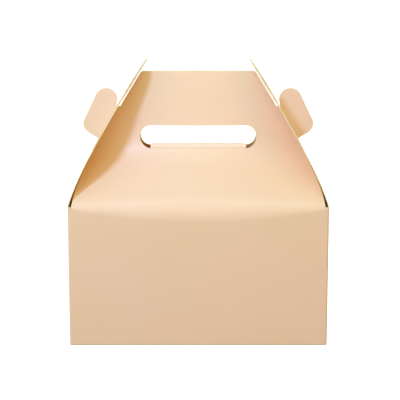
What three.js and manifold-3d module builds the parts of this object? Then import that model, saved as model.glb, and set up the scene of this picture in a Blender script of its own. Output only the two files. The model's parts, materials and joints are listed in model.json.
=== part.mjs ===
// Gable box: a party carton folded from one blank of coated card. Its two roof panels close into a carry
// handle, and an end flap on each side hooks over the handle's ears. Millimetres, +Z up, front towards -Y,
// standing on z = 0.
import * as THREE from "three";
import { mergeVertices } from "three/addons/utils/BufferGeometryUtils.js";
import Module from "manifold-3d";

// Card and clearances
const card = 0.5; // thickness of the board
const clear = 0.3; // clearance between pieces of card that only lie against each other
const kerf = 0.4; // width of a die-cut line between two panels that meet edge to edge

// Body
const bodyWidth = 160; // outside, along X
const bodyDepth = 90; // outside, along Y
const wallHeight = 88; // floor to the roof crease
const cornerFold = 1.2; // outer radius of a folded corner
const cutCorner = card / 4; // outer radius of the glued corner, which is a cut edge
const glueFlap = 13; // width of the flap glued inside the back wall
const glueTaper = 6; // how much shorter that flap is at its free edge, top and bottom

// Floor: two long flaps that meet in a hooked line, over two end flaps
const floorHook = 11; // how far each long flap's hook reaches past the middle line
const floorHookWidth = 62; // length of each hook along X
const floorHookRound = 5; // rounding of the hooks
const endFloorReach = 44; // how far the end flaps reach in over the long ones
const endFloorTaper = 14; // how far the end flaps narrow towards their free edge

// Roof and handle, from the front: heights are above the roof crease
const creaseBend = 2.2; // length over which the card turns at the roof crease
const roofRise = 28; // height where roof turns into handle
const roofHalfGap = 8.6; // half the distance between front and back there
const roofBend = 12; // length over which that turn is spread, each way
const handleRise = 78.7; // height of the handle's top edge
const handleHalfGap = 1; // half the distance between front and back at the top edge
const handleSetback = 1.7; // how far the handle's edge stays inside the end flap above the ears
const handleRound = 1.5; // rounding of the handle's top corners
const cornerSetback = 2.3; // how far the roof's edge starts inside the box's corner
const cornerRun = 15; // height over which that edge closes up to the end flap
const pinchStart = 2; // height where front and back panel begin to draw together at their edges
const pinchEnd = 32; // height where their edges lie against each other

// Hand hole and its tab, pushed in and lying back from the hole's lower edge
const holeHalfLength = 36.9;
const holeRadius = 7.15;
const holeRise = 37.5; // height of the hole's middle line
const tabWidth = 61;
const tabLength = 14;
const tabRound = 3;
const tabTilt = 5; // degrees that the tab rises towards the back
const tabSunk = card / 4; // how far the tab starts inside the front panel's thickness

// Ears: each is two round lobes on a neck that passes through the end flap's slot
const neckLow = 35.3;
const neckHigh = 56.2;
const lowLobe = { rise: 45.2, out: 8.9, radius: 6.45 };
const topLobe = { rise: 60.6, out: 9.9, radius: 7.05 };
const lobeFoot = -60; // degrees round the low lobe where its outline turns in to the neck
const lobeHook = 195; // degrees round the top lobe where its outline turns down behind the end flap

// End flaps
const flapRise = 86.6; // height of the tip
const flapInset = 46.9; // how far the tip leans in from the hinge
const flapFootLean = 17; // degrees from upright at the hinge
const flapTipLean = 31; // degrees from upright at the tip
const flapFootPull = 25; // how far the card keeps its first direction
const flapTipPull = 35; // how far the tip's direction reaches back
const flapTipRadius = 15; // rounding of the tip, seen from the side
const flapShoulder = 0.6; // how much narrower the flap's foot is than the box, each side
const slotWidth = 2.2;
const slotRun = 9; // empty length of the slot below the ear's neck
const slotSpare = 1.5; // spare length of the slot past the ear's top as the flap swings

// Facets
const roofColumns = 24; // from end flap to end flap
const roofRows = [1, 4, 6, 7, 7]; // wall, crease bend, roof, handle bend, handle
const flapRows = 18;
const roundSegments = 8; // in each curve of an outline
const tabColumns = 12;
const tabRows = 4;
const halvings = 40; // steps of a search along a curve
const tangentStep = 1e-3; // share of a sheet's width or height over which its slope is measured
const mergeDistance = 1e-5;

const paleCard = { color: 0xf0d2b4, roughness: 0.45, metalness: 0.0 };

// Lines that several pieces share
const wallMid = bodyDepth / 2 - card / 2; // middle of the front and back walls' thickness
const hingeX = bodyWidth / 2 - card / 2; // the end flaps' hinge lines lie in the middle of the end walls
const creaseZ = wallHeight;
const earHalfGap = card / 2 + clear / 2; // middle of each ear's thickness from the middle plane
const hingeNose = card / 2; // radius of the rounded top edge of an end wall
const sheetFoot = creaseZ - 2 * creaseBend; // lower edge of the roof's sheet, in the wall below the crease

const wasm = await Module();
wasm.setup();

function solid(geometry) {
  const bare = geometry.clone();
  bare.deleteAttribute("normal");
  bare.deleteAttribute("uv");
  const merged = mergeVertices(bare, mergeDistance);
  const vertProperties = new Float32Array(merged.getAttribute("position").array);
  const triVerts = new Uint32Array(merged.index.array);
  return new wasm.Manifold(new wasm.Mesh({ numProp: 3, vertProperties, triVerts }));
}

function geometryOf(body) {
  const made = body.getMesh();
  const geometry = new THREE.BufferGeometry();
  geometry.setAttribute("position", new THREE.BufferAttribute(made.vertProperties, 3));
  geometry.setIndex(new THREE.BufferAttribute(made.triVerts, 1));
  return geometry;
}

// The same piece on the other side of the box.
function halfTurn(body) {
  return solid(geometryOf(body).rotateZ(Math.PI));
}

function meshOf(body, name) {
  const geometry = geometryOf(body);
  geometry.computeVertexNormals();
  const mesh = new THREE.Mesh(geometry, new THREE.MeshStandardMaterial(paleCard));
  mesh.name = name;
  return mesh;
}

const radians = THREE.MathUtils.degToRad;
const sheetReach = 1.45; // width of the roof's uncut sheet, as a multiple of the width between the end flaps

// A plate of card lying at height z: the shape is drawn in X and Y.
function layer(shape, z, thickness = card) {
  const settings = { depth: thickness, bevelEnabled: false, curveSegments: roundSegments };
  return solid(new THREE.ExtrudeGeometry(shape, settings).translate(0, 0, z));
}

// A prism along Y that cuts what is seen from the front: the shape is drawn in X and Z.
function frontPrism(shape, halfLength, middleY = 0) {
  const settings = { depth: 2 * halfLength, bevelEnabled: false, curveSegments: roundSegments };
  const prism = new THREE.ExtrudeGeometry(shape, settings).translate(0, 0, -halfLength);
  return solid(prism.rotateX(Math.PI / 2).translate(0, middleY, 0));
}

// A prism along X that cuts what is seen from the side: the shape is drawn in Y and Z.
function sidePrism(shape, fromX, toX) {
  const settings = { depth: toX - fromX, bevelEnabled: false, curveSegments: roundSegments };
  const prism = new THREE.ExtrudeGeometry(shape, settings).rotateX(Math.PI / 2).rotateZ(Math.PI / 2);
  return solid(prism.translate(fromX, 0, 0));
}

// A sheet of card bent as place(u, v) says. The marks are the shares of its width and height where facets
// meet.
function bentSheet(uMarks, vMarks, place) {
  const sheet = new THREE.BoxGeometry(1, 1, 1, uMarks.length - 1, vMarks.length - 1, 1);
  const position = sheet.getAttribute("position");
  for (let i = 0; i < position.count; i++) {
    const u = uMarks[Math.round((position.getX(i) + 0.5) * (uMarks.length - 1))];
    const v = vMarks[Math.round((position.getY(i) + 0.5) * (vMarks.length - 1))];
    const along = place(Math.min(u + tangentStep, 1), v).sub(place(Math.max(u - tangentStep, 0), v));
    const up = place(u, Math.min(v + tangentStep, 1)).sub(place(u, Math.max(v - tangentStep, 0)));
    const normal = along.cross(up).normalize();
    const point = place(u, v).addScaledVector(normal, position.getZ(i) * card);
    position.setXYZ(i, point.x, point.y, point.z);
  }
  return solid(sheet);
}

function evenMarks(steps) {
  return Array.from({ length: steps + 1 }, (_, i) => i / steps);
}

// Shares of a path's length where its facets meet, with the given number of facets in each of its curves.
function pathMarks(path, facets) {
  const lengths = path.getCurveLengths();
  const whole = path.getLength();
  const marks = [0];
  facets.forEach((count, i) => {
    const start = i ? lengths[i - 1] : 0;
    for (let k = 1; k <= count; k++) marks.push(THREE.MathUtils.lerp(start, lengths[i], k / count) / whole);
  });
  return marks;
}

// Shapes that lie on the folded box

function roundedBox(width, depth, radii, middleY = 0) {
  const [x, y] = [width / 2, depth / 2];
  const shape = new THREE.Shape();
  const corners = [
    [x, -y, -Math.PI / 2, radii[0]],
    [x, y, 0, radii[1]],
    [-x, y, Math.PI / 2, radii[2]],
    [-x, -y, Math.PI, radii[3]],
  ];
  for (const [cx, cy, start, r] of corners) {
    const centre = [cx - Math.sign(cx) * r, middleY + cy - Math.sign(cy) * r];
    shape.absarc(...centre, r, start, start + Math.PI / 2, false);
  }
  return shape;
}

// The end flap's middle line in X and Z, from just above its hinge to its tip.
function flapCurve() {
  const foot = radians(flapFootLean);
  const tip = radians(flapTipLean);
  const start = hingeNose + clear;
  const from = new THREE.Vector2(hingeX - start * Math.sin(foot), creaseZ + start * Math.cos(foot));
  const to = new THREE.Vector2(hingeX - flapInset, creaseZ + flapRise);
  const leave = new THREE.Vector2(-Math.sin(foot), Math.cos(foot)).multiplyScalar(flapFootPull).add(from);
  const arrive = new THREE.Vector2(Math.sin(tip), -Math.cos(tip)).multiplyScalar(flapTipPull).add(to);
  return new THREE.CubicBezierCurve(from, leave, arrive, to);
}
const flapLine = flapCurve();

// The point of the flap's middle line where measure(point) first reaches a value.
function onFlap(measure, value) {
  let low = 0;
  let high = 1;
  for (let i = 0; i < halvings; i++) {
    const middle = (low + high) / 2;
    if (measure(flapLine.getPoint(middle)) < value) low = middle;
    else high = middle;
  }
  return flapLine.getPoint(high);
}
const rise = (point) => point.y - creaseZ;
const radius = (point) => Math.hypot(point.x - hingeX, point.y - creaseZ);

// X of a line that runs inside the flap at a height above the crease.
function insideFlap(height, setback) {
  if (height <= 0) return hingeX - card / 2 - setback;
  const here = onFlap(rise, height);
  const above = onFlap(rise, Math.min(height + 1, flapRise));
  const lean = Math.atan2(here.x - above.x, above.y - here.y);
  return here.x - (card / 2 + setback) / Math.cos(lean || radians(flapTipLean));
}

// The roof and handle in Y and Z: from the front wall over the crease, up the roof and up the handle.
function roofPath() {
  const path = new THREE.Path();
  const crease = new THREE.Vector2(wallMid, creaseZ);
  const turn = new THREE.Vector2(roofHalfGap, creaseZ + roofRise);
  const top = new THREE.Vector2(handleHalfGap, creaseZ + handleRise);
  const roofWay = turn.clone().sub(crease).normalize();
  const handleWay = top.clone().sub(turn).normalize();
  const onRoof = crease.clone().addScaledVector(roofWay, creaseBend);
  const offRoof = turn.clone().addScaledVector(roofWay, -roofBend);
  const onHandle = turn.clone().addScaledVector(handleWay, roofBend);
  path.moveTo(crease.x, sheetFoot);
  path.lineTo(crease.x, creaseZ - creaseBend);
  path.quadraticCurveTo(crease.x, crease.y, onRoof.x, onRoof.y);
  path.lineTo(offRoof.x, offRoof.y);
  path.quadraticCurveTo(turn.x, turn.y, onHandle.x, onHandle.y);
  path.lineTo(top.x, top.y);
  return path;
}
const roofLine = roofPath();

// Where a point of the front panel lies: near their edges the two panels draw together, so that the ears of
// both pass through one slot.
function onFrontPanel(x, across, height) {
  const spread = Math.min(Math.abs(x) / insideFlap(height - creaseZ, 0), 1);
  const drawn = THREE.MathUtils.smoothstep(height - creaseZ, pinchStart, pinchEnd);
  const y = earHalfGap + (across - earHalfGap) * (1 - spread * spread * drawn);
  return new THREE.Vector3(x, -y, height);
}

// The facets' edges run alongside the end flaps, and one more facet on each side reaches out over the ear.
function roofMarks() {
  const inner = evenMarks(roofColumns).map((share) => 0.5 + (share - 0.5) / sheetReach);
  return [0, ...inner, 1];
}

function frontPanelAt(u, v) {
  const point = roofLine.getPoint(v);
  const x = (2 * u - 1) * sheetReach * insideFlap(point.y - creaseZ, 0);
  return onFrontPanel(x, point.x, point.y);
}

// Roof, handle and ears as seen from the front.
function roofOutline() {
  const right = [];
  for (let i = 0; i <= roundSegments; i++) {
    const height = (neckLow * i) / roundSegments;
    const open = Math.max(1 - height / cornerRun, 0);
    right.push([insideFlap(height, clear + (cornerSetback - clear - card) * open * open), creaseZ + height]);
  }
  const lobe = ({ rise: height, out, radius: r }) => [onFlap(rise, height).x + out, creaseZ + height, r];
  const [lowX, lowZ, lowR] = lobe(lowLobe);
  const [topX, topZ, topR] = lobe(topLobe);
  const lean = Math.atan2(topZ - lowZ, topX - lowX) - Math.PI / 2;
  const tangent = lean - Math.asin((topR - lowR) / Math.hypot(topX - lowX, topZ - lowZ));
  const arc = (x, z, r, from, to) => {
    for (let i = 0; i <= roundSegments; i++) {
      const angle = from + ((to - from) * i) / roundSegments;
      right.push([x + r * Math.cos(angle), z + r * Math.sin(angle)]);
    }
  };
  arc(lowX, lowZ, lowR, radians(lobeFoot), tangent);
  arc(topX, topZ, topR, tangent, radians(lobeHook));
  const notchX = onFlap(rise, neckHigh).x + card + clear;
  right.push([notchX, creaseZ + neckHigh]);
  for (let i = 0; i <= roundSegments; i++) {
    const height = neckHigh + ((handleRise - handleRound - neckHigh) * i) / roundSegments;
    right.push([insideFlap(height, handleSetback), creaseZ + height]);
  }
  right.push([insideFlap(handleRise, handleSetback) - handleRound, creaseZ + handleRise]);
  const low = sheetFoot - creaseBend;
  const outline = [[right[0][0], low], ...right];
  const mirrored = outline.map(([x, z]) => [-x, z]).reverse();
  return new THREE.Shape([...outline, ...mirrored].map(([x, z]) => new THREE.Vector2(x, z)));
}

function stadium(halfLength, r, z) {
  const shape = new THREE.Shape();
  shape.absarc(halfLength - r, z, r, -Math.PI / 2, Math.PI / 2, false);
  shape.absarc(r - halfLength, z, r, Math.PI / 2, (3 * Math.PI) / 2, false);
  return shape;
}

// Roof and handle of one side, with its ears and its half of the hand hole.
function frontRoof() {
  const sheet = bentSheet(roofMarks(), pathMarks(roofLine, roofRows), frontPanelAt);
  const hole = frontPrism(stadium(holeHalfLength, holeRadius, creaseZ + holeRise), bodyDepth);
  return sheet.intersect(frontPrism(roofOutline(), bodyDepth)).subtract(hole);
}

// The tab starts on the hole's lower edge, follows its bow, and lies back between the two panels.
function handTab() {
  const z = creaseZ + holeRise - holeRadius;
  const across = onRoofLine(z);
  const tilt = radians(tabTilt);
  const place = (u, v) => {
    const foot = onFrontPanel((u - 0.5) * tabWidth, across, z);
    const back = v * (tabLength + card);
    return foot.add(new THREE.Vector3(0, back * Math.cos(tilt) - tabSunk, back * Math.sin(tilt) - card / 2));
  };
  const depth = bodyDepth / 2;
  const freeEdge = -across + tabLength * Math.cos(tilt);
  const rounded = roundedBox(tabWidth - clear, 2 * depth, [0, tabRound, tabRound, 0], freeEdge - depth);
  const sheet = bentSheet(evenMarks(tabColumns), evenMarks(tabRows), place);
  return sheet.intersect(layer(rounded, creaseZ, wallHeight));
}

// Distance of the roof line from the middle plane at a height.
function onRoofLine(z) {
  let low = 0;
  let high = 1;
  for (let i = 0; i < halvings; i++) {
    const middle = (low + high) / 2;
    if (roofLine.getPoint(middle).y < z) low = middle;
    else high = middle;
  }
  return roofLine.getPoint(high).x;
}

// Walls: three folded corners, and one corner of a plain cut edge where the glued seam is.
function walls() {
  const outer = [cornerFold, cornerFold, cutCorner, cornerFold];
  const inner = outer.map((r) => Math.max(r - card, cutCorner / 2));
  const shape = roundedBox(bodyWidth, bodyDepth, outer);
  shape.holes.push(roundedBox(bodyWidth - 2 * card, bodyDepth - 2 * card, inner));
  const ring = layer(shape, 0, creaseZ - kerf);
  const roofCut = bodyWidth - 2 * cornerSetback + 2 * clear;
  const cut = new THREE.BoxGeometry(roofCut, bodyDepth * 2, 2 * creaseBend).translate(0, 0, creaseZ);
  const foldX = card - bodyWidth / 2;
  const seam = new THREE.Shape();
  seam.moveTo(foldX, 0);
  seam.lineTo(foldX + glueFlap, glueTaper);
  seam.lineTo(foldX + glueFlap, sheetFoot - glueTaper);
  seam.lineTo(foldX, sheetFoot);
  return ring.subtract(solid(cut)).add(frontPrism(seam, card / 2, wallMid - card));
}

// The rounded top edge of an end wall, on which its flap hinges.
function hingeEdge(side) {
  const shape = new THREE.Shape();
  shape.absarc(side * hingeX, creaseZ, hingeNose, 0, Math.PI, false);
  shape.lineTo(side * hingeX - hingeNose, creaseZ - creaseBend);
  shape.lineTo(side * hingeX + hingeNose, creaseZ - creaseBend);
  return frontPrism(shape, bodyDepth / 2 - cornerFold);
}

// One long floor flap: its free edge is straight, with a hook at one side that locks past the other flap's
// hook.
function longFloor() {
  const half = floorHookWidth / 2;
  const reach = floorHook - kerf / 2;
  const edge = -kerf / 2;
  const shape = new THREE.Shape();
  shape.moveTo(-bodyWidth / 2 + card, -bodyDepth / 2 + card);
  shape.lineTo(bodyWidth / 2 - card, -bodyDepth / 2 + card);
  shape.lineTo(bodyWidth / 2 - card, edge);
  shape.lineTo(half + floorHookRound, edge);
  shape.quadraticCurveTo(half, edge, half, edge + floorHookRound);
  shape.lineTo(half, reach - floorHookRound);
  shape.quadraticCurveTo(half, reach, half - floorHookRound, reach);
  shape.lineTo(kerf / 2 + floorHookRound, reach);
  shape.quadraticCurveTo(kerf / 2, reach, kerf / 2, reach - floorHookRound);
  shape.lineTo(kerf / 2, -floorHook + floorHookRound - kerf / 2);
  shape.quadraticCurveTo(kerf / 2, -floorHook - kerf / 2, kerf / 2 - floorHookRound, -floorHook - kerf / 2);
  shape.lineTo(floorHookRound - half, -floorHook - kerf / 2);
  shape.quadraticCurveTo(-half - kerf, -floorHook - kerf / 2, -half - kerf, floorHookRound - floorHook);
  shape.lineTo(-half - kerf, edge - floorHookRound);
  shape.quadraticCurveTo(-half - kerf, edge, -half - kerf - floorHookRound, edge);
  shape.lineTo(-bodyWidth / 2 + card, edge);
  return layer(shape, 0);
}

function endFloor(side) {
  const foot = bodyDepth / 2 - card;
  const from = side * (bodyWidth / 2 - card);
  const to = side * (bodyWidth / 2 - card - endFloorReach);
  const points = [
    [from, -foot],
    [to, -foot + endFloorTaper],
    [to, foot - endFloorTaper],
    [from, foot],
  ];
  return layer(new THREE.Shape(points.map(([x, y]) => new THREE.Vector2(x, y))), card);
}

function carton() {
  const roof = frontRoof();
  const floor = longFloor();
  const pieces = [
    halfTurn(roof),
    handTab(),
    hingeEdge(1),
    hingeEdge(-1),
    floor,
    halfTurn(floor),
    endFloor(1),
    endFloor(-1),
  ];
  return pieces.reduce((whole, piece) => whole.add(piece), walls().add(roof));
}

// The right end flap: a bent sheet, cut to a tapered tongue with a round tip and a slot for the ears.
function endFlap() {
  const place = (u, v) => {
    const point = flapLine.getPoint(v);
    return new THREE.Vector3(point.x, (u - 0.5) * bodyDepth, point.y);
  };
  const sheet = bentSheet(evenMarks(1), evenMarks(flapRows), place);
  const foot = bodyDepth / 2 - flapShoulder;
  const tipZ = creaseZ + flapRise - flapTipRadius;
  const taper = Math.atan2(foot - flapTipRadius, tipZ - creaseZ);
  const tongue = new THREE.Shape();
  tongue.moveTo(-foot, creaseZ - card);
  tongue.lineTo(foot, creaseZ - card);
  tongue.absarc(0, tipZ, flapTipRadius, taper, Math.PI - taper, false);
  const neck = onFlap(rise, neckLow);
  const lobeX = onFlap(rise, topLobe.rise).x + topLobe.out - hingeX;
  const lobeReach = Math.hypot(lobeX, topLobe.rise) + topLobe.radius + slotSpare;
  const low = onFlap(radius, radius(neck) - slotRun).y;
  const high = onFlap(radius, lobeReach).y;
  const half = slotWidth / 2;
  const slot = new THREE.Shape();
  slot.absarc(0, low + half, half, Math.PI, 2 * Math.PI, false);
  slot.absarc(0, high - half, half, 0, Math.PI, false);
  const cut = (shape) => sidePrism(shape, 0, bodyWidth);
  return sheet.intersect(cut(tongue)).subtract(cut(slot));
}

const box = new THREE.Group();
const flap = endFlap();
box.add(meshOf(carton(), "carton"));
box.add(meshOf(flap, "right_end_flap"));
box.add(meshOf(halfTurn(flap), "left_end_flap"));

export default box;
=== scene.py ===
"""Looks of the gable box: one blank of satin card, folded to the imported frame's sizes, and its two end flaps.

Each piece of card is drawn flat, triangulated, folded by a formula and given its thickness. Its lengths are
in millimetres until the mesh is made. The scene is in metres, in the frame's own axes.
"""

import json
import math

import bpy
import numpy as np
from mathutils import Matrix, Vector
from mathutils.geometry import delaunay_2d_cdt


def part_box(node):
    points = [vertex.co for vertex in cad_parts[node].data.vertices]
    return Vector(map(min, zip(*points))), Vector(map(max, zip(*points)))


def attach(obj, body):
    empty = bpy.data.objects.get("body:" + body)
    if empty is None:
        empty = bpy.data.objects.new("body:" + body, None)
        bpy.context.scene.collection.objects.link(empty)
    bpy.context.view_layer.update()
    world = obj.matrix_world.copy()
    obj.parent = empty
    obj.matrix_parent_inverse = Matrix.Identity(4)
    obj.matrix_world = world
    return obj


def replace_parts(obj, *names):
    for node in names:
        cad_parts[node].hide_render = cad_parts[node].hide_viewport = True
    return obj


MM = 0.001

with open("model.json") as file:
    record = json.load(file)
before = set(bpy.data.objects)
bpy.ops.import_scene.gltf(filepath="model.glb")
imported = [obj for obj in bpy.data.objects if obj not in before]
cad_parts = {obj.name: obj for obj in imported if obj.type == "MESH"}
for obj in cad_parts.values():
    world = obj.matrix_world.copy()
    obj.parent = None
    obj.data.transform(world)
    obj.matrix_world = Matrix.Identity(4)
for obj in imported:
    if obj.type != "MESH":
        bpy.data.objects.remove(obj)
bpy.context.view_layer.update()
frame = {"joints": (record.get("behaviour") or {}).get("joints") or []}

# Sizes that the frame gives
carton_low, carton_high = (np.array(corner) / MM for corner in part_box("carton"))
flap_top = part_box("right_end_flap")[1][2] / MM
hinge = next(joint for joint in frame["joints"] if joint["child"] == "right_flap")["pos_m"]
HINGE_X, CREASE_Z = hinge[0] / MM, hinge[2] / MM
WIDTH, DEPTH = carton_high[0] - carton_low[0], carton_high[1] - carton_low[1]
HANDLE_RISE = carton_high[2] - CREASE_Z

# Card
CARD = 2 * (WIDTH / 2 - HINGE_X)
CLEAR = 0.3
RIM_ROUND = 0.35  # how far a cut edge bulges, as a share of half the card
RIM_STEPS = 4
PLY_GAP = 0.04  # air between layers that lie on each other

# Walls and floor
WALL_Y = DEPTH / 2 - CARD / 2
CORNER_RADIUS = 0.95  # of the card's middle line at a folded corner
FLOOR_BEND = 0.6  # of the card's middle line at the bottom edges
GLUE_FLAP, GLUE_TAPER = 13.0, 6.0
NOTCH_Z = 0.3  # height of the walls' lower edge at the corners, between the floor flaps
KERF = 0.4
FLOOR_HOOK, FLOOR_HOOK_WIDTH, FLOOR_HOOK_ROUND = 11.0, 62.0, 5.0
FLOOR_SIDE = 1.3  # from the outside of the box to the side edges of a long floor flap
END_FLOOR_REACH, END_FLOOR_TAPER = 44.0, 14.0
END_FLOOR_LAYER = 1.5 * CARD + PLY_GAP  # middle of an end floor flap, which lies on the long ones
END_FLOOR_SPARE = 2 * CARD  # from a folded corner to the side edge of an end floor flap
HINGE_DROP = 0.5  # from a flap's hinge line down to the end wall's top edge

# Roof and handle, heights above the crease
CREASE_BEND_CORNER, CREASE_BEND_MIDDLE = 2.2, 10.0
ROOF_RISE, ROOF_HALF_GAP, ROOF_BEND = 28.0, 8.6, 12.0
HANDLE_HALF_GAP, HANDLE_SETBACK, HANDLE_ROUND = 1.0, 1.2, 1.5
CORNER_SETBACK, CORNER_RUN, CORNER_CUT = 2.3, 15.0, 2.2
PINCH_START, PINCH_END = 2.0, 32.0
EAR_HALF_GAP = CARD / 2 + CLEAR / 2
HOLE_HALF_LENGTH, HOLE_RADIUS, HOLE_RISE = 36.9, 7.15, 37.5
TAB_WIDTH, TAB_LENGTH, TAB_ROUND = 60.7, 14.0, 3.0
TAB_TILT, TAB_BEND = math.radians(5), 1.4
NECK_LOW, NECK_HIGH = 35.3, 56.2
LOW_LOBE = (45.2, 8.9, 6.45)  # rise, distance out from the end flap, radius
TOP_LOBE = (60.6, 9.9, 7.05)
LOBE_FOOT, LOBE_HOOK = math.radians(-60), math.radians(195)

# End flaps
FLAP_RISE, FLAP_INSET = flap_top - CREASE_Z - CARD / 2, 46.9
FLAP_FOOT_LEAN, FLAP_TIP_LEAN = math.radians(17), math.radians(31)
FLAP_FOOT_PULL, FLAP_TIP_PULL = 25.0, 35.0
FLAP_TIP_RADIUS, FLAP_SHOULDER = 15.0, 0.6
SLOT_WIDTH, SLOT_RUN, SLOT_SPARE = 2.2, 9.0, 1.5
TIP_DISH, DISH_REACH = 0.9, 17.0  # depth of the dish at the tip, and half its width
DISH_RISES = 48.0, 72.0  # heights above the crease between which it deepens

# Spacing of the meshes
EDGE_STEP = 1.6  # longest piece of a cut edge
GRID_STEP = 2.4
GRID_ROOM = 0.5  # smallest distance of a grid point from a cut edge
COARSE_STEP = 2 * GRID_STEP  # on flat walls and floor flaps
FLOOR_BEND_STEP, CREASE_STEP, TAB_BEND_STEP = 0.2, 0.5, 0.4
ROOF_STEP, HANDLE_STEP = 1.5, 1.8
FLOOR_BEND_TOP, TAB_BEND_RUN = 2.0, 2.0  # how far the fine rows go on past these two bends
CREASE_BELOW, CREASE_ABOVE = 12.0, 6.0  # how far they reach below and above the crease
CORNER_COLUMNS = 6
ARC_STEPS = 16
CURVE_POINTS = 2001
SAME_POINT = 1e-3  # points this near to each other count as one
MERGE_DISTANCE = 1e-5


# Curves


def unit(x, y):
    return np.array([x, y]) / math.hypot(x, y)


def bezier(points, t):
    """Points of a Bezier curve of any order."""
    rows = [np.broadcast_to(point, (len(t), 2)) for point in points]
    while len(rows) > 1:
        rows = [a + (b - a) * t[:, None] for a, b in zip(rows, rows[1:])]
    return rows[0]


def arc(centre, radius, start, end, steps=ARC_STEPS):
    angle = np.linspace(start, end, steps + 1)
    return np.column_stack([centre[0] + radius * np.cos(angle), centre[1] + radius * np.sin(angle)])


def smoothstep(value, low, high):
    share = np.clip((value - low) / (high - low), 0, 1)
    return share * share * (3 - 2 * share)


def flap_curve():
    """The end flap's middle line in x and z, from its hinge to its tip."""
    foot_way = np.array([-math.sin(FLAP_FOOT_LEAN), math.cos(FLAP_FOOT_LEAN)])
    tip_way = np.array([-math.sin(FLAP_TIP_LEAN), math.cos(FLAP_TIP_LEAN)])
    hinge_point = np.array([HINGE_X, CREASE_Z])
    foot = hinge_point + foot_way * (CARD / 2 + CLEAR)
    tip = hinge_point + np.array([-FLAP_INSET, FLAP_RISE])
    points = [foot, foot + foot_way * FLAP_FOOT_PULL, tip - tip_way * FLAP_TIP_PULL, tip]
    return np.vstack([hinge_point, bezier(points, np.linspace(0, 1, CURVE_POINTS))])


FLAP_LINE = flap_curve()
FLAP_LEAN = np.arctan2(-np.gradient(FLAP_LINE[:, 0]), np.gradient(FLAP_LINE[:, 1]))


def flap_x(z):
    return np.interp(z, FLAP_LINE[:, 1], FLAP_LINE[:, 0])


def inside_flap(z, setback):
    """X of a line that runs inside the right end flap."""
    lean = np.interp(z, FLAP_LINE[:, 1], FLAP_LEAN)
    beside = flap_x(z) - (CARD / 2 + setback) / np.cos(lean)
    return np.where(z <= CREASE_Z, HINGE_X - CARD / 2 - setback, beside)


def turn_between(z, corner, way_in, way_out, length):
    """Distance from the middle plane on a bend that starts and ends at this length from its corner, and the
    mask of the heights that lie on it."""
    share = (z - corner[1]) / length
    a, b = way_out[1] - way_in[1], 2 * way_in[1]
    t = (np.sqrt(np.maximum(b * b + 4 * a * (way_in[1] + share), 0)) - b) / (2 * a)
    on_bend = (share > -way_in[1]) & (share < way_out[1])
    return corner[0] + length * (way_out[0] * t * t - way_in[0] * (1 - t) ** 2), on_bend


ROOF_WAY = unit(ROOF_HALF_GAP - WALL_Y, ROOF_RISE)
HANDLE_WAY = unit(HANDLE_HALF_GAP - ROOF_HALF_GAP, HANDLE_RISE - ROOF_RISE)


def roof_across(z, crease_bend):
    """Distance of a wall, its roof panel and its handle half from the middle plane."""
    height = z - CREASE_Z
    on_roof = WALL_Y + height * ROOF_WAY[0] / ROOF_WAY[1]
    on_handle = ROOF_HALF_GAP + (height - ROOF_RISE) * HANDLE_WAY[0] / HANDLE_WAY[1]
    straight = np.select([height < 0, height < ROOF_RISE], [WALL_Y + 0 * height, on_roof], on_handle)
    crease, on_crease = turn_between(z, (WALL_Y, CREASE_Z), (0, 1), ROOF_WAY, crease_bend)
    turn, on_turn = turn_between(z, (ROOF_HALF_GAP, CREASE_Z + ROOF_RISE), ROOF_WAY, HANDLE_WAY, ROOF_BEND)
    return np.select([on_crease, on_turn], [crease, turn], straight)


def roof_point(x, z):
    """A point of the front panel above the crease: near its edges, front and back draw together."""
    reach = np.clip(np.abs(x) / inside_flap(z, 0), 0, 1)
    crease_bend = CREASE_BEND_MIDDLE + (CREASE_BEND_CORNER - CREASE_BEND_MIDDLE) * reach**2
    across = roof_across(z, crease_bend)
    drawn = smoothstep(z - CREASE_Z, PINCH_START, PINCH_END)
    y = EAR_HALF_GAP + (across - EAR_HALF_GAP) * (1 - reach**2 * drawn)
    return np.column_stack([x, -y, z])


# Lengths along the strip of walls, from the middle of the front
QUARTER = CORNER_RADIUS * math.pi / 2
CORNER_STEP = QUARTER / CORNER_COLUMNS
FRONT_END = HINGE_X - CORNER_RADIUS
END_START = FRONT_END + QUARTER
END_LENGTH = 2 * (WALL_Y - CORNER_RADIUS)
BACK_MIDDLE = END_START + END_LENGTH + QUARTER + FRONT_END
BACK_EDGE = BACK_MIDDLE + WIDTH / 2 - RIM_ROUND * CARD / 2
GLUE_FOLD = END_START + END_LENGTH - CARD - PLY_GAP
GLUE_EDGE = GLUE_FOLD + QUARTER + FRONT_END - (WIDTH / 2 - CARD - GLUE_FLAP)


def along_walls(a):
    """Plan of the walls' middle line, with its outward normal. The left side ends in the glue flap."""
    side = np.where(a < 0, -1.0, 1.0)
    length = np.abs(a)
    end_length = np.where(a < 0, END_LENGTH - CARD - PLY_GAP, END_LENGTH)
    first = np.clip((length - FRONT_END) / CORNER_RADIUS, 0, math.pi / 2)
    second = np.clip((length - END_START - end_length) / CORNER_RADIUS, 0, math.pi / 2)
    on_end = np.clip(length - END_START, 0, end_length)
    on_back = np.maximum(length - END_START - end_length - QUARTER, 0)
    x = np.minimum(length, FRONT_END) + CORNER_RADIUS * (np.sin(first) + np.cos(second) - 1) - on_back
    y = on_end - WALL_Y + CORNER_RADIUS * (1 - np.cos(first) + np.sin(second))
    return x * side, y, np.sin(first + second) * side, -np.cos(first + second)


HOLE_Z = CREASE_Z + HOLE_RISE
HOLE_LOW = HOLE_Z - HOLE_RADIUS


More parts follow.
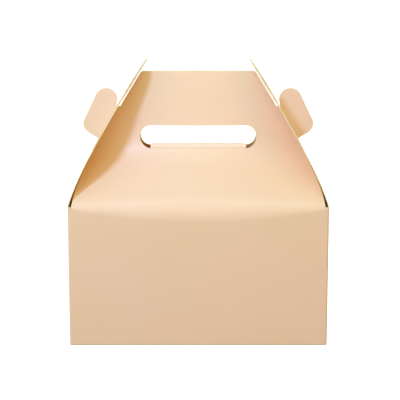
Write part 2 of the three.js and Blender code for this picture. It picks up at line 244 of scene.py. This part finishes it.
def tab_point(x, run):
    """A point of the tab at a length past its fold, which bows with the panel."""
    fold = roof_point(x, np.full_like(x, HOLE_LOW))
    below = roof_point(np.zeros(2), np.array([HOLE_LOW - EDGE_STEP, HOLE_LOW]))
    start = math.atan2(below[1, 2] - below[0, 2], below[1, 1] - below[0, 1])
    turned = np.minimum(run / TAB_BEND, start - TAB_TILT)
    flat = run - turned * TAB_BEND
    angle = start - turned
    back = TAB_BEND * (math.sin(start) - np.sin(angle)) + flat * math.cos(TAB_TILT)
    up = TAB_BEND * (np.cos(angle) - math.cos(start)) + flat * math.sin(TAB_TILT)
    return fold + np.column_stack([0 * run, back, up])


def fold_blank(a, z):
    """The folded place of a point of the flat blank: a is its length along the walls, z its height."""
    x, y, normal_x, normal_y = along_walls(a)
    length = np.abs(a)
    on_end = (length > END_START) & (length < GLUE_FOLD)
    on_long = (length < FRONT_END) | (np.abs(a - BACK_MIDDLE) < FRONT_END)
    layer = np.where(on_end, END_FLOOR_LAYER, CARD / 2)
    below = np.where(on_end | on_long, np.maximum(layer + FLOOR_BEND - z, 0), 0)
    angle = np.minimum(below / FLOOR_BEND, math.pi / 2)
    inward = FLOOR_BEND * (1 - np.cos(angle)) + np.maximum(below - FLOOR_BEND * math.pi / 2, 0)
    height = np.where(below > 0, layer + FLOOR_BEND * (1 - np.sin(angle)), z)
    folded = np.column_stack([x - normal_x * inward, y - normal_y * inward, height])
    for middle, turn in ((0, 1), (BACK_MIDDLE, -1)):
        roof = (np.abs(a - middle) <= FRONT_END) & (z > CREASE_Z - CREASE_BEND_MIDDLE)
        folded[roof] = roof_point(a[roof] - middle, z[roof]) * (turn, turn, 1)
    tab = (length <= TAB_WIDTH / 2 + KERF) & (z > HOLE_LOW) & (z < HOLE_LOW + 2 * HOLE_RADIUS - CLEAR / 2)
    folded[tab] = tab_point(a[tab], z[tab] - HOLE_LOW)
    return folded


def fold_end_flap(y, z):
    """Towards its tip the flap is slightly dished, so that its inner face shows along its front edge."""
    dish = np.clip(np.abs(y) / DISH_REACH, 0, 1)**2 - 0.5
    return np.column_stack([flap_x(z) + TIP_DISH * dish * smoothstep(z - CREASE_Z, *DISH_RISES), y, z])


# Outlines of the flat pieces


def floor_run(depth, layer):
    """Height on the blank of a floor flap's point that lies this deep under the box."""
    return layer + FLOOR_BEND - (depth - FLOOR_BEND + FLOOR_BEND * math.pi / 2)


def long_floor_edge():
    """Front floor flap in x and y, from its left side to its right: it hooks past the other flap."""
    half, turn, shut = FLOOR_HOOK_WIDTH / 2, FLOOR_HOOK_ROUND, KERF / 2
    side = WIDTH / 2 - FLOOR_SIDE
    corners = [
        (-half - KERF, -shut),
        (-half - KERF, -FLOOR_HOOK - shut),
        (shut, -FLOOR_HOOK - shut),
        (shut, FLOOR_HOOK - shut),
        (half, FLOOR_HOOK - shut),
        (half, -shut),
    ]
    points = [(-side, -WALL_Y), (-side, -shut)]
    stops = [points[-1], *corners, (side, -shut)]
    for before, corner, after in zip(stops, stops[1:], stops[2:]):
        leave = np.add(corner, unit(*np.subtract(before, corner)) * turn)
        arrive = np.add(corner, unit(*np.subtract(after, corner)) * turn)
        points.extend(bezier([leave, corner, arrive], np.linspace(0, 1, ARC_STEPS // 2)))
    return [*points, (side, -shut), (side, -WALL_Y)]


def long_floor_outline(middle):
    points = [(middle + x, floor_run(WALL_Y + y, CARD / 2)) for x, y in long_floor_edge()]
    points[0] = (points[0][0], NOTCH_Z)
    points[-1] = (points[-1][0], NOTCH_Z)
    return points


def end_floor_outline(middle):
    half = END_LENGTH / 2 - END_FLOOR_SPARE
    narrow = half - END_FLOOR_TAPER
    free = floor_run(END_FLOOR_REACH + CARD / 2, END_FLOOR_LAYER)
    return [
        (middle - half, NOTCH_Z),
        (middle - narrow, free),
        (middle + narrow, free),
        (middle + half, NOTCH_Z),
    ]


def placed_lobe(rise, out, radius):
    return flap_x(CREASE_Z + rise) + out, CREASE_Z + rise, radius


def right_roof_edge():
    """Right edge of the front panel in x and z, from the crease up round the ear to the handle's top."""
    rises = np.linspace(0, NECK_LOW, 3 * ARC_STEPS)
    opening = np.clip(1 - rises / CORNER_RUN, 0, 1)
    setback = CLEAR + (CORNER_SETBACK - CLEAR - CARD) * opening**2
    side = np.column_stack([inside_flap(CREASE_Z + rises, setback), CREASE_Z + rises])
    low_x, low_z, low_r = placed_lobe(*LOW_LOBE)
    top_x, top_z, top_r = placed_lobe(*TOP_LOBE)
    lean = math.atan2(top_z - low_z, top_x - low_x) - math.pi / 2
    tangent = lean - math.asin((top_r - low_r) / math.hypot(top_x - low_x, top_z - low_z))
    low = arc((low_x, low_z), low_r, LOBE_FOOT, tangent)
    top = arc((top_x, top_z), top_r, tangent, LOBE_HOOK)
    notch = [[flap_x(CREASE_Z + NECK_HIGH) + CARD + CLEAR, CREASE_Z + NECK_HIGH]]
    rises = np.linspace(NECK_HIGH, HANDLE_RISE - HANDLE_ROUND, 2 * ARC_STEPS)
    handle = np.column_stack([inside_flap(CREASE_Z + rises, HANDLE_SETBACK), CREASE_Z + rises])
    handle_z = CREASE_Z + HANDLE_RISE - CARD / 2 * RIM_ROUND
    corner = [inside_flap(handle_z, HANDLE_SETBACK), handle_z]
    along_top = [corner[0] - HANDLE_ROUND, handle_z]
    round_end = bezier([handle[-1], corner, along_top], np.linspace(0, 1, ARC_STEPS // 2))
    return np.vstack([side, low, top, notch, handle, round_end[1:]])


def roof_outline(middle):
    """From the right corner's cut, up and over the handle, to the left corner's cut."""
    right = right_roof_edge()
    cut = [[right[0, 0] + CLEAR, CREASE_Z - KERF], [right[0, 0] + CLEAR, CREASE_Z - CORNER_CUT],
           [right[0, 0], CREASE_Z - CORNER_CUT]]
    right = np.vstack([cut, right])
    left = right[::-1] * (-1, 1)
    return np.vstack([right, left]) + (middle, 0)


def blank_outline():
    """The carton's blank, turning left: along the floor flaps, then back over the roof panels."""
    end_middle = END_START + END_LENGTH / 2
    glue_top = CREASE_Z - CORNER_CUT
    hinge_z = CREASE_Z - HINGE_DROP
    points = [(-GLUE_EDGE, GLUE_TAPER), (-GLUE_FOLD - QUARTER, NOTCH_Z)]
    points += end_floor_outline(-end_middle)
    points += long_floor_outline(0)
    points += end_floor_outline(end_middle)
    points += long_floor_outline(BACK_MIDDLE)
    points += [(BACK_EDGE, NOTCH_Z), (BACK_EDGE, CREASE_Z - KERF)]
    points += [tuple(p) for p in roof_outline(BACK_MIDDLE)]
    points += [(BACK_MIDDLE - FRONT_END, CREASE_Z - KERF)]
    points += [(END_START + END_LENGTH, hinge_z), (END_START, hinge_z), (FRONT_END, CREASE_Z - KERF)]
    points += [tuple(p) for p in roof_outline(0)]
    points += [(-FRONT_END, CREASE_Z - KERF), (-END_START, hinge_z), (-GLUE_FOLD, hinge_z)]
    points += [(-GLUE_FOLD - QUARTER, glue_top), (-GLUE_EDGE, glue_top - GLUE_TAPER)]
    return np.array(points)


def stadium(middle):
    reach = HOLE_HALF_LENGTH - HOLE_RADIUS
    right = arc((reach, HOLE_Z), HOLE_RADIUS, -math.pi / 2, math.pi / 2)
    left = arc((-reach, HOLE_Z), HOLE_RADIUS, math.pi / 2, 3 * math.pi / 2)
    return np.vstack([right, left]) + (middle, 0)


def tabbed_hole():
    """The front's hand hole, cut all round its tab."""
    half = TAB_WIDTH / 2
    fold_y = roof_point(np.array([0, half]), np.full(2, HOLE_LOW))[:, 1]
    side = HOLE_LOW + TAB_LENGTH - (fold_y[1] - fold_y[0]) / math.cos(TAB_TILT)
    x = np.linspace(-half + TAB_ROUND, half - TAB_ROUND, 2 * ARC_STEPS)
    bow = roof_point(x, np.full_like(x, HOLE_LOW))[:, 1] - fold_y[0]
    free_edge = np.column_stack([x, HOLE_LOW + TAB_LENGTH - bow / math.cos(TAB_TILT)])
    left = arc((TAB_ROUND - half, side - TAB_ROUND), TAB_ROUND, math.pi, math.pi / 2, ARC_STEPS // 2)
    right = arc((half - TAB_ROUND, side - TAB_ROUND), TAB_ROUND, math.pi / 2, 0, ARC_STEPS // 2)
    return np.vstack([stadium(0), [[-half, HOLE_LOW]], left[:-1], free_edge, right[1:], [[half, HOLE_LOW]]])


def flap_outline():
    """Right end flap in y and z."""
    foot = DEPTH / 2 - FLAP_SHOULDER
    tip_z = CREASE_Z + FLAP_RISE - FLAP_TIP_RADIUS
    taper = math.atan2(foot - FLAP_TIP_RADIUS, tip_z - CREASE_Z)
    tip = arc((0, tip_z), FLAP_TIP_RADIUS, taper, math.pi - taper, 2 * ARC_STEPS)
    return np.vstack([[-foot, CREASE_Z], [foot, CREASE_Z], tip])


def slot_outline():
    reach = np.hypot(FLAP_LINE[:, 0] - HINGE_X, FLAP_LINE[:, 1] - CREASE_Z)
    lobe_x = flap_x(CREASE_Z + TOP_LOBE[0]) + TOP_LOBE[1] - HINGE_X
    neck = np.interp(CREASE_Z + NECK_LOW, FLAP_LINE[:, 1], reach)
    low = np.interp(neck - SLOT_RUN, reach, FLAP_LINE[:, 1])
    high = np.interp(math.hypot(lobe_x, TOP_LOBE[0]) + TOP_LOBE[2] + SLOT_SPARE, reach, FLAP_LINE[:, 1])
    half = SLOT_WIDTH / 2
    foot = arc((0, low + half), half, math.pi, 2 * math.pi, ARC_STEPS // 2)
    head = arc((0, high - half), half, 0, math.pi, ARC_STEPS // 2)
    return np.vstack([foot, head])


# Meshes


def refined(loop, longest):
    """The loop with its long sides divided."""
    points = []
    for start, end in zip(loop, np.roll(loop, -1, axis=0)):
        steps = max(math.ceil(np.linalg.norm(end - start) / longest), 1)
        points.extend(start + (end - start) * k / steps for k in range(steps))
    return np.array(points)


def without_doubles(loop):
    apart = np.linalg.norm(loop - np.roll(loop, 1, axis=0), axis=1) > SAME_POINT
    return loop[apart]


def lines(*stretches):
    """Grid lines in stretches of (start, end, step)."""
    values = [np.arange(start, end, step) for start, end, step in stretches]
    return np.concatenate(values)


def inside(points, loops):
    """Which points lie inside the first loop and outside the others."""
    crossings = np.zeros(len(points), int)
    for loop in loops:
        for (x0, y0), (x1, y1) in zip(loop, np.roll(loop, -1, axis=0)):
            level = (y0 <= points[:, 1]) != (y1 <= points[:, 1])
            if level.any():
                at = x0 + (points[level, 1] - y0) * (x1 - x0) / (y1 - y0)
                crossings[level] += points[level, 0] < at
    return crossings % 2 == 1


def distance_to(points, loops):
    nearest = np.full(len(points), np.inf)
    for loop in loops:
        for start, end in zip(loop, np.roll(loop, -1, axis=0)):
            way = end - start
            share = np.clip(((points - start) @ way) / (way @ way), 0, 1)
            nearest = np.minimum(nearest, np.linalg.norm(points - start - share[:, None] * way, axis=1))
    return nearest


def triangulated(loops, columns, rows):
    """Vertices and triangles of a flat piece with clean cut edges and a regular grid inside."""
    loops = [refined(without_doubles(loop), EDGE_STEP) for loop in loops]
    grid = np.array([(x, y) for y in rows for x in columns])
    grid = grid[inside(grid, loops)]
    grid = grid[distance_to(grid, loops) > GRID_ROOM]
    corners = np.vstack([*loops, grid])
    edges, first = [], 0
    for loop in loops:
        count = len(loop)
        edges.extend((first + k, first + (k + 1) % count) for k in range(count))
        first += count
    coordinates = [Vector(point) for point in corners]
    vertices, _, faces, *_ = delaunay_2d_cdt(coordinates, edges, [], 0, MERGE_DISTANCE)
    vertices, faces = np.array(vertices), np.array(faces)
    return vertices, faces[inside(vertices[faces].mean(axis=1), loops)]


def vertex_normals(points, faces):
    mesh = bpy.data.meshes.new("middle")
    mesh.from_pydata(points.tolist(), [], faces.tolist())
    normals = np.zeros(3 * len(points), np.float32)
    mesh.vertex_normals.foreach_get("vector", normals)
    bpy.data.meshes.remove(mesh)
    return normals.reshape(-1, 3).astype(float)


def cut_edges(faces):
    """Directed edges with a face on their left only."""
    directed = {(a, b) for face in faces.tolist() for a, b in zip(face, face[1:] + face[:1])}
    return np.array([(a, b) for a, b in directed if (b, a) not in directed])


def even_rim(flat):
    return np.full(len(flat), RIM_ROUND)


def card_piece(name, flat, faces, fold, body, rim_round):
    """A piece of card: its middle surface as folded, its two faces, and its slightly rounded cut edges."""
    used, faces = np.unique(faces, return_inverse=True)
    flat, faces = flat[used], faces.reshape(-1, 3)
    middle = fold(flat[:, 0], flat[:, 1])
    normals = vertex_normals(middle, faces)
    edges = cut_edges(faces)
    rim = np.unique(edges)
    place = np.full(len(middle), -1)
    place[rim] = np.arange(len(rim))
    out = np.zeros((len(rim), 3))
    for start, end in edges:
        way = np.cross(middle[end] - middle[start], normals[start] + normals[end])
        out[place[start]] += way / np.linalg.norm(way)
        out[place[end]] += way / np.linalg.norm(way)
    out -= (out * normals[rim]).sum(axis=1)[:, None] * normals[rim]
    out /= np.linalg.norm(out, axis=1)[:, None]
    count = len(middle)
    layers = [middle + normals * CARD / 2, middle - normals * CARD / 2]
    round_share = rim_round(flat[rim])[:, None]
    for k in range(1, RIM_STEPS):
        angle = math.pi / 2 - math.pi * k / RIM_STEPS
        across = normals[rim] * math.sin(angle) + out * math.cos(angle) * round_share
        layers.append(middle[rim] + across * CARD / 2)
    vertices = np.vstack(layers) * MM
    rings = [lambda v: v]
    rings += [lambda v, k=k: 2 * count + k * len(rim) + place[v] for k in range(RIM_STEPS - 1)]
    rings += [lambda v: count + v]
    outside = faces.tolist()
    cream = (faces[:, ::-1] + count).tolist()
    quads = []
    for upper, lower in zip(rings, rings[1:]):
        for start, end in edges.tolist():
            quads.append((upper(start), lower(start), lower(end), upper(end)))
    mesh = bpy.data.meshes.new(name)
    mesh.from_pydata(vertices.tolist(), [], outside + cream + quads)
    slots = [0] * len(outside) + [1] * len(cream) + [2] * len(quads)
    mesh.polygons.foreach_set("material_index", slots)
    for material in CARD_MATERIALS:
        mesh.materials.append(material)
    sharp = {tuple(sorted(edge)) for edge in edges.tolist()}
    sharp |= {(a + count, b + count) for a, b in sharp}
    is_sharp = [tuple(sorted(edge.vertices)) in sharp for edge in mesh.edges]
    mesh.edges.foreach_set("use_edge_sharp", is_sharp)
    mesh.validate()
    piece = bpy.data.objects.new(name, mesh)
    bpy.context.scene.collection.objects.link(piece)
    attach(piece, body)
    return piece


# Materials


def principled(name, roughness, specular):
    material = bpy.data.materials.new(name)
    material.use_nodes = True
    shader = material.node_tree.nodes["Principled BSDF"]
    shader.inputs["Roughness"].default_value = roughness
    shader.inputs["Specular IOR Level"].default_value = specular
    return material, shader


def noise(tree, scale, detail):
    """Noise in the piece's own coordinates, with features of about 1/scale metres."""
    coordinates = tree.nodes.new("ShaderNodeTexCoord")
    texture = tree.nodes.new("ShaderNodeTexNoise")
    texture.inputs["Scale"].default_value = scale
    texture.inputs["Detail"].default_value = detail
    tree.links.new(coordinates.outputs["Object"], texture.inputs["Vector"])
    return texture.outputs["Fac"]


def card_material(name, roughness, specular, colours, spots, bumps):
    """Two colours in soft spots, over bumps. Each is noise of a scale and detail. The spots then give the
    stops of their two colours, and the bumps their height in millimetres."""
    material, shader = principled(name, roughness, specular)
    tree = material.node_tree
    scale, detail, *stops = spots
    ramp = tree.nodes.new("ShaderNodeValToRGB")
    for element, stop, colour in zip(ramp.color_ramp.elements, stops, colours):
        element.position = stop
        element.color = (*colour, 1)
    tree.links.new(noise(tree, scale, detail), ramp.inputs["Fac"])
    tree.links.new(ramp.outputs["Color"], shader.inputs["Base Color"])
    normal = shader.inputs["Normal"]
    for scale, detail, height in reversed(bumps):
        bump = tree.nodes.new("ShaderNodeBump")
        bump.inputs["Distance"].default_value = height * MM
        tree.links.new(noise(tree, scale, detail), bump.inputs["Height"])
        tree.links.new(bump.outputs["Normal"], normal)
        normal = bump.inputs["Normal"]
    return material


PEACH, PEACH_PINK = (0.88, 0.665, 0.485), (0.90, 0.67, 0.52)
CREAM, CREAM_DEEP = (0.86, 0.62, 0.22), (0.82, 0.57, 0.18)
EDGE_PALE, EDGE_DEEP = (0.86, 0.82, 0.48), (0.78, 0.72, 0.38)
GLOW = {  # light that comes through the card to its inner face
    "Subsurface Weight": 0.6,
    "Subsurface Radius": (1.0, 0.5, 0.1),
    "Subsurface Scale": 0.001,
}


def card_materials():
    """The outside, the inside and the cut edge, in the order of a piece's material slots."""
    outside = card_material("satin_peach_face", roughness=0.42, specular=0.5, colours=(PEACH, PEACH_PINK),
                            spots=(18, 1, 0.35, 0.65), bumps=[(160, 2, 0.04), (2600, 3, 0.012)])
    inside_face = card_material("plain_inner_face", roughness=0.7, specular=0.25, colours=(CREAM, CREAM_DEEP),
                                spots=(60, 3, 0.35, 0.65), bumps=[(1400, 4, 0.02)])
    edge = card_material("cut_edge", roughness=0.8, specular=0.2, colours=(EDGE_PALE, EDGE_DEEP),
                         spots=(700, 3, 0.3, 0.7), bumps=[(3000, 2, 0.02)])
    shader = inside_face.node_tree.nodes["Principled BSDF"]
    for socket, value in GLOW.items():
        shader.inputs[socket].default_value = value
    return [outside, inside_face, edge]


CARD_MATERIALS = card_materials()


# Pieces


def carton():
    end_stop = END_START + END_LENGTH
    back_start = BACK_MIDDLE - FRONT_END
    columns = lines((-GLUE_EDGE, -end_stop - QUARTER, GRID_STEP),
                    (-end_stop - QUARTER, -end_stop, CORNER_STEP),
                    (-end_stop, -END_START, COARSE_STEP),
                    (-END_START, -FRONT_END, CORNER_STEP),
                    (-FRONT_END, FRONT_END, GRID_STEP),
                    (FRONT_END, END_START, CORNER_STEP),
                    (END_START, end_stop, COARSE_STEP),
                    (end_stop, back_start, CORNER_STEP),
                    (back_start, BACK_EDGE, GRID_STEP))
    rows = lines((floor_run(WALL_Y + FLOOR_HOOK, 0), 0, COARSE_STEP),
                 (0, FLOOR_BEND_TOP, FLOOR_BEND_STEP),
                 (FLOOR_BEND_TOP, CREASE_Z - CREASE_BELOW, COARSE_STEP),
                 (CREASE_Z - CREASE_BELOW, CREASE_Z + CREASE_ABOVE, CREASE_STEP),
                 (CREASE_Z + CREASE_ABOVE, HOLE_LOW, ROOF_STEP),
                 (HOLE_LOW, HOLE_LOW + TAB_BEND_RUN, TAB_BEND_STEP),
                 (HOLE_LOW + TAB_BEND_RUN, CREASE_Z + HANDLE_RISE, HANDLE_STEP))
    flat, faces = triangulated([blank_outline(), tabbed_hole(), stadium(BACK_MIDDLE)], columns, rows)
    return card_piece("folded_carton", flat, faces, fold_blank, "box", even_rim)


def end_flap(name, side, body):
    columns = lines((-DEPTH / 2, DEPTH / 2, GRID_STEP))
    rows = lines((CREASE_Z + CREASE_STEP, CREASE_Z + FLAP_RISE, ROOF_STEP))
    flat, faces = triangulated([flap_outline(), slot_outline()], columns, rows)

    def hinge_round(points):
        return np.where(points[:, 1] < CREASE_Z + SAME_POINT, 1.0, RIM_ROUND)

    def fold(y, z):
        return fold_end_flap(y, z) * (side, side, 1)

    return card_piece(name, flat, faces, fold, body, hinge_round)


def card_box():
    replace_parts(carton(), "carton")
    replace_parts(end_flap("left_flap_card", -1, "left_flap"), "left_end_flap")
    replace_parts(end_flap("right_flap_card", 1, "right_flap"), "right_end_flap")


# Stage, light and camera

CAMERA_PLACE = (0, -0.841, 0.247)
CAMERA_PITCH = math.radians(11)
FOCAL_PIXELS, FRAME_PIXELS = 1330, 400
SENSOR = 36
CENTRE_SHIFT = 1.7  # pixels that the object stands left of the picture's middle
FLOOR_REACH, FLOOR_DROP = 20, 0.0002
FLOOR_GREY, FLOOR_GLOW, FLOOR_ROUGHNESS = 0.6, 1.0, 0.9
SKY_COLOUR, SKY_STRENGTH = (1.0, 0.78, 0.45), 0.24
LIGHT_TARGET_Z = 0.1

# Each light's name, azimuth and elevation in degrees, distance and size in metres, power in watts, and colour
LIGHTS = [
    ("key", -32, 33, 0.9, 0.19, 4.8, (0.42, 0.6, 1.0)),
    ("top", 0, 60, 0.5, 0.35, 0.72, (0.65, 0.95, 0.8)),
    ("front", 0, 12, 1.6, 1.2, 5.0, (1.0, 0.76, 0.4)),
    ("right", 58, 20, 1.4, 1.0, 5.8, (1.0, 0.7, 0.3)),
    ("left", -66, 15, 1.4, 1.0, 6.0, (1.0, 0.88, 0.55)),
    ("back", 180, 14, 1.2, 0.6, 4.7, (1.0, 0.75, 0.67)),
]


def floor():
    """A pale floor that only the camera sees, so that it doesn't brighten the box from below."""
    reach, low = FLOOR_REACH, -FLOOR_DROP
    corners = [(-reach, -reach, low), (reach, -reach, low), (reach, reach, low), (-reach, reach, low)]
    mesh = bpy.data.meshes.new("floor")
    mesh.from_pydata(corners, [], [(0, 1, 2, 3)])
    material, shader = principled("white_floor", FLOOR_ROUGHNESS, specular=0.0)
    shader.inputs["Base Color"].default_value = (FLOOR_GREY, FLOOR_GREY, FLOOR_GREY, 1)
    shader.inputs["Emission Color"].default_value = (1, 1, 1, 1)
    shader.inputs["Emission Strength"].default_value = FLOOR_GLOW
    mesh.materials.append(material)
    plane = bpy.data.objects.new("floor", mesh)
    plane.visible_diffuse = plane.visible_glossy = False
    bpy.context.scene.collection.objects.link(plane)


def area_light(name, azimuth, elevation, distance, size, power, colour):
    """A disk light that looks at the box: azimuth 0 is in front of it, and 90 on its right."""
    light = bpy.data.lights.new(name, "AREA")
    light.shape = "DISK"
    light.size = size
    light.energy = power
    light.color = colour
    lamp = bpy.data.objects.new(name, light)
    turn, rise = math.radians(azimuth), math.radians(elevation)
    back = Vector((math.sin(turn) * math.cos(rise), -math.cos(turn) * math.cos(rise), math.sin(rise)))
    lamp.location = Vector((0, 0, LIGHT_TARGET_Z)) + back * distance
    lamp.rotation_mode = "QUATERNION"
    lamp.rotation_quaternion = back.to_track_quat("Z", "Y")
    lamp.visible_camera = False
    bpy.context.scene.collection.objects.link(lamp)


def sky():
    world = bpy.data.worlds.new("studio")
    world.use_nodes = True
    background = world.node_tree.nodes["Background"]
    background.inputs["Color"].default_value = (*SKY_COLOUR, 1)
    background.inputs["Strength"].default_value = SKY_STRENGTH
    bpy.context.scene.world = world


def camera():
    data = bpy.data.cameras.new("camera")
    data.sensor_width = SENSOR
    data.lens = FOCAL_PIXELS * SENSOR / FRAME_PIXELS
    data.shift_x = CENTRE_SHIFT / FRAME_PIXELS
    eye = bpy.data.objects.new("camera", data)
    eye.location = CAMERA_PLACE
    eye.rotation_euler = (math.pi / 2 - CAMERA_PITCH, 0, 0)
    bpy.context.scene.collection.objects.link(eye)
    bpy.context.scene.camera = eye


card_box()
floor()
for row in LIGHTS:
    area_light(*row)
sky()
camera()
bpy.context.scene.view_settings.view_transform = "Standard"
